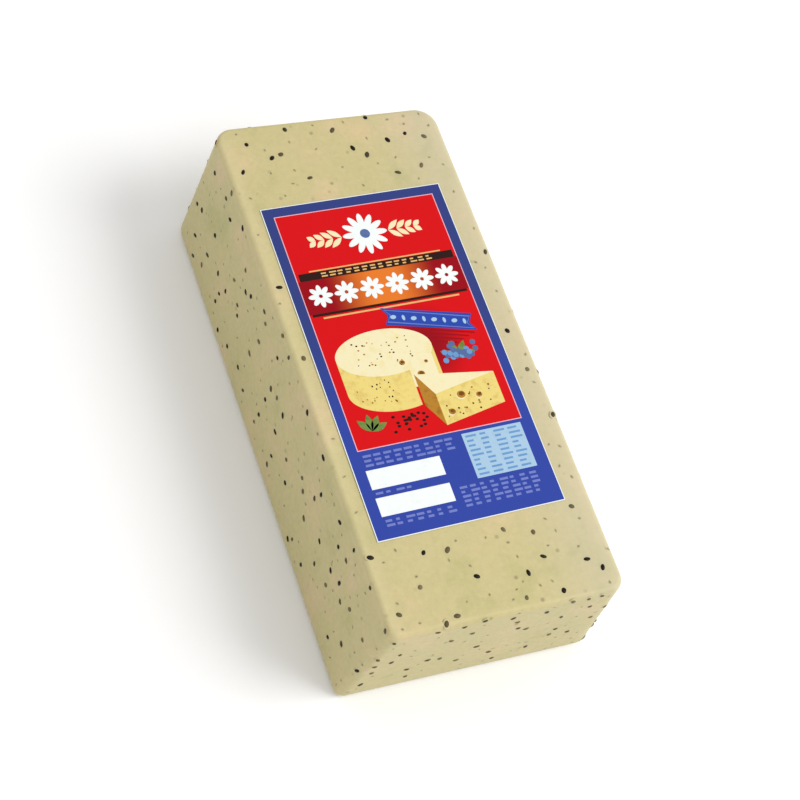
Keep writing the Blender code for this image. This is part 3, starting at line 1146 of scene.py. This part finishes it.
def ink_materials(label):
    """Return each ink's material by its name."""
    plain = ("bright_blue", "pink", "deep_red", "gold", "black", "sky", "haze", "mist")
    inks = {ink: ink_material(f"ink_{ink}", getattr(label, ink)) for ink in plain}
    second = {"cream": ("yellow", 0.35), "yellow": ("amber", 0.35), "amber": ("rind", 0.5),
              "rind": ("amber", 0.3), "green": ("black", 0.5), "slate": ("haze", 0.6)}
    for ink, (other, share) in second.items():
        colour = getattr(label, ink)
        inks[ink] = ink_material(f"ink_{ink}", colour, shade=blend(colour, getattr(label, other), share))
    inks["white"] = ink_material("ink_white", label.paper, shade=dimmed(label.paper, PAPER_DIM))
    inks["blue"] = ink_material("ink_blue", label.blue, gradient=border_fade(label))
    inks["red"] = ink_material("ink_red", label.red, gradient=field_shade(label))
    inks["title"] = ink_material("ink_title", label.deep_red, gradient=title_glow(label))
    return inks


class CHEESE_OT_add_loaf(bpy.types.Operator):
    """Build the loaf of cheese in place of its plain solid"""

    bl_idname = "cheese_loaf.add_loaf"
    bl_label = "Add Loaf"

    def execute(self, context):
        """Build the loaf."""
        loaf = context.scene.loaf_settings
        mesh = mesh_from(build_loaf(loaf), "loaf", SMOOTH_ANGLE)
        add_piece("loaf", mesh, cheese_material(loaf), CHEESE_SLOT, BLOCK_NODE)
        return {"FINISHED"}


class CHEESE_OT_add_seeds(bpy.types.Operator):
    """Set the seeds into the loaf's surface, proud ones and ones just under it"""

    bl_idname = "cheese_loaf.add_seeds"
    bl_label = "Add Seeds"

    def execute(self, context):
        """Place the seeds on the loaf, which has to be there."""
        loaf = context.scene.loaf_settings
        seeds = context.scene.seed_settings
        body = bpy.data.objects.get("loaf")
        if body is None:
            raise RuntimeError("the loaf has to be added before its seeds")
        corners = [vert.co for vert in body.data.vertices]
        surface = BVHTree.FromPolygons(corners, [tuple(face.vertices) for face in body.data.polygons])
        pitches = [seeds.top_pitch] + [seeds.side_pitch] * len(CORNER_SIGNS)
        proud = seed_places(surface, loaf, seeds, pitches, seeds.draw, [])
        draw = random.Random(seeds.draw)
        veils = [draw_veil(draw, seeds, normal) for _, normal, *_ in proud]
        material = seed_material("seed_skin", seeds, loaf, PROUD_FADE)
        add_grains("seeds", proud, seeds.thickness, seeds.sink, veils, PROUD_UNEVENNESS, material, seeds.draw)
        wide = [(spot, normal, turn, seeds.shade_spread * length, seeds.shade_spread * width)
                for spot, normal, turn, length, width in proud]
        veils = [SHADE_VEIL * veil for veil in veils]
        material = shade_material(seeds, loaf)
        add_grains("seed_shades", wide, seeds.sunk_thickness, seeds.sunk_sink, veils, SUNK_UNEVENNESS,
                   material, seeds.draw)
        pitches = [seeds.sunk_pitch] * (1 + len(CORNER_SIGNS))
        sunk = seed_places(surface, loaf, seeds, pitches, seeds.sunk_draw, proud)
        draw = random.Random(seeds.sunk_draw)
        veils = [draw.uniform(*SUNK_VEILS) for _ in sunk]
        material = seed_material("sunk_seed_skin", seeds, loaf, SUNK_FADE)
        add_grains("sunk_seeds", sunk, seeds.sunk_thickness, seeds.sunk_sink, veils, SUNK_UNEVENNESS,
                   material, seeds.sunk_draw)
        return {"FINISHED"}


class CHEESE_OT_add_label(bpy.types.Operator):
    """Lay the label's sheet on the loaf in place of its plain solid"""

    bl_idname = "cheese_loaf.add_label"
    bl_label = "Add Label"

    def execute(self, context):
        """Build the sheet."""
        label = context.scene.label_settings
        job = PrintJob(label)
        builder = bmesh.new()
        low = job.height(0) - label.paper_depth
        size = Matrix.Diagonal((LABEL_ACROSS / MM, LABEL_DOWN / MM, label.paper_depth, 1.0))
        middle = job.point(LABEL_ACROSS / 2, LABEL_DOWN / 2, low + label.paper_depth / 2)
        bmesh.ops.create_cube(builder, size=1.0, matrix=Matrix.Translation(middle) @ size)
        paper = ink_material("label_paper", label.paper, shade=dimmed(label.paper, PAPER_DIM))
        add_piece("label_paper", mesh_from(builder, "label_paper"), paper, PRINT_SLOT, LABEL_NODE)
        return {"FINISHED"}


class CHEESE_OT_add_print(bpy.types.Operator):
    """Print the label's fields, rules, ornaments and picture"""

    bl_idname = "cheese_loaf.add_print"
    bl_label = "Add Print"

    def execute(self, context):
        """Lay every printed shape."""
        label = context.scene.label_settings
        job = PrintJob(label)
        inks = ink_materials(label)
        draw = random.Random(PICTURE_DRAW)
        lay_fields(job)
        lay_title(job)
        lay_crest(job)
        picture = MirroredJob(job)
        lay_ribbon(picture)
        lay_wheel(picture, draw)
        lay_wedge(picture, draw)
        lay_garnish(picture, draw)
        job.finish(inks)
        middle = LABEL_ACROSS / 2
        add_rosettes(job, "label_crest_flower", (middle, CREST_LEVEL), 5, inks["white"],
                     count=1, pitch=0.0, petals=12, hub=2.0, petal=(9.8, 3.4))
        add_rosettes(job, "label_title_flowers", (middle - 33.5, 52.5), 6, inks["white"],
                     count=6, pitch=13.4, petals=8, hub=0.9, petal=(5.4, 2.6))
        add_dashes(job, "label_dashes_title", (middle - 29.5, 40.3), 5, inks["gold"],
                   counts=(14, 2), pitches=(4.3, 1.6), height=0.8, draw=5)
        add_dashes(job, "label_dashes_upper", (7.0, 138.6), 3, inks["haze"],
                   counts=(9, 3), pitches=(5.2, 2.4), height=1.2, draw=3)
        add_dashes(job, "label_dashes_middle", (7.0, 157.8), 3, inks["haze"],
                   counts=(4, 1), pitches=(5.2, 2.4), height=1.1, draw=4)
        add_dashes(job, "label_dashes_lower", (47.5, 163.8), 3, inks["haze"],
                   counts=(8, 5), pitches=(5.2, 2.3), height=1.2, draw=7)
        add_dashes(job, "label_dashes_foot", (7.0, 171.8), 3, inks["haze"],
                   counts=(7, 2), pitches=(5.2, 2.2), height=1.2, draw=9)
        add_dashes(job, "label_box_rules", (59.6, 139.2), 4, inks["mist"],
                   counts=(4, 9), pitches=(7.4, 2.5), height=1.0, draw=12)
        return {"FINISHED"}


def floor_material(stage):
    """Return the pale matt floor's material."""
    material, tree, shader = start_material("floor", FLOOR_FINISH)
    dim = dimmed(stage.floor, FLOOR_DIM)
    tint = add_tint(tree, FLOOR_FINISH, stage.floor, dim, dim)
    tree.links.new(tint["Color"], shader.inputs["Base Color"])
    return material


def add_camera(stage):
    """Add the camera at the photograph's viewing angle."""
    across = math.cos(stage.elevation)
    back = Vector((math.sin(stage.azimuth) * across, -math.cos(stage.azimuth) * across,
                   math.sin(stage.elevation)))
    camera = bpy.data.objects.new("camera", bpy.data.cameras.new("camera"))
    camera.data.sensor_width = 36.0
    camera.data.lens = stage.lens
    camera.rotation_mode = "QUATERNION"
    camera.location = Vector(stage.aim) + back * stage.distance
    camera.rotation_quaternion = (-back).to_track_quat("-Z", "Y") @ Quaternion((0.0, 0.0, 1.0), stage.roll)
    bpy.context.scene.collection.objects.link(camera)
    bpy.context.scene.camera = camera


def add_lamp(stage):
    """Add the soft lamp in front of the loaf."""
    towards = Vector(stage.lamp_towards).normalized()
    data = bpy.data.lights.new("soft_lamp", "AREA")
    data.shape = "SQUARE"
    data.size = stage.lamp_size
    data.energy = stage.lamp_power
    lamp = bpy.data.objects.new("soft_lamp", data)
    lamp.location = Vector((0.0, 0.0, LOAF_HEIGHT / 2)) + towards * stage.lamp_distance
    lamp.rotation_euler = (-towards).to_track_quat("-Z", "Y").to_euler()
    bpy.context.scene.collection.objects.link(lamp)


class CHEESE_OT_add_stage(bpy.types.Operator):
    """Set up the pale floor, the soft light and the camera"""

    bl_idname = "cheese_loaf.add_stage"
    bl_label = "Add Stage"

    def execute(self, context):
        """Build the stage."""
        stage = context.scene.stage_settings
        builder = bmesh.new()
        bmesh.ops.create_grid(builder, x_segments=1, y_segments=1, size=stage.floor_size / 2)
        mesh = mesh_from(builder, "floor")
        mesh.materials.append(floor_material(stage))
        floor = bpy.data.objects.new("floor", mesh)
        context.scene.collection.objects.link(floor)
        world = bpy.data.worlds.new("even_sky")
        world.use_nodes = True
        world.node_tree.nodes["Background"].inputs["Color"].default_value = (1.0, 1.0, 1.0, 1.0)
        world.node_tree.nodes["Background"].inputs["Strength"].default_value = stage.sky
        context.scene.world = world
        context.scene.view_settings.view_transform = "Standard"
        add_lamp(stage)
        add_camera(stage)
        return {"FINISHED"}


class CHEESE_PT_panel(bpy.types.Panel):
    """Panel that lists the loaf's operators and settings"""

    bl_idname = "CHEESE_PT_panel"
    bl_label = "Cheese Loaf"
    bl_space_type = "VIEW_3D"
    bl_region_type = "UI"
    bl_category = "Cheese Loaf"

    def draw(self, context):
        """Draw each operator's button and each group's settings."""
        for operator in OPERATORS:
            self.layout.operator(operator.bl_idname)
        for name in SETTINGS:
            box = self.layout.box()
            group = getattr(context.scene, name)
            for key in group.bl_rna.properties.keys():
                if key not in ("rna_type", "name"):
                    box.prop(group, key)


OPERATORS = (CHEESE_OT_add_loaf, CHEESE_OT_add_seeds, CHEESE_OT_add_label, CHEESE_OT_add_print,
             CHEESE_OT_add_stage)
SETTINGS = {"loaf_settings": LoafSettings, "seed_settings": SeedSettings, "label_settings": LabelSettings,
            "stage_settings": StageSettings}


def register():
    """Register the settings, the operators and the panel."""
    for name, group in SETTINGS.items():
        bpy.utils.register_class(group)
        setattr(bpy.types.Scene, name, PointerProperty(type=group))
    for item in (*OPERATORS, CHEESE_PT_panel):
        bpy.utils.register_class(item)


def unregister():
    """Remove the panel, the operators and the settings."""
    for item in (CHEESE_PT_panel, *reversed(OPERATORS)):
        bpy.utils.unregister_class(item)
    for name, group in SETTINGS.items():
        delattr(bpy.types.Scene, name)
        bpy.utils.unregister_class(group)


def main():
    """Register the add-on's classes and build every piece."""
    register()
    bpy.ops.cheese_loaf.add_loaf()
    bpy.ops.cheese_loaf.add_seeds()
    bpy.ops.cheese_loaf.add_label()
    bpy.ops.cheese_loaf.add_print()
    bpy.ops.cheese_loaf.add_stage()


if __name__ == "__main__":
    main()
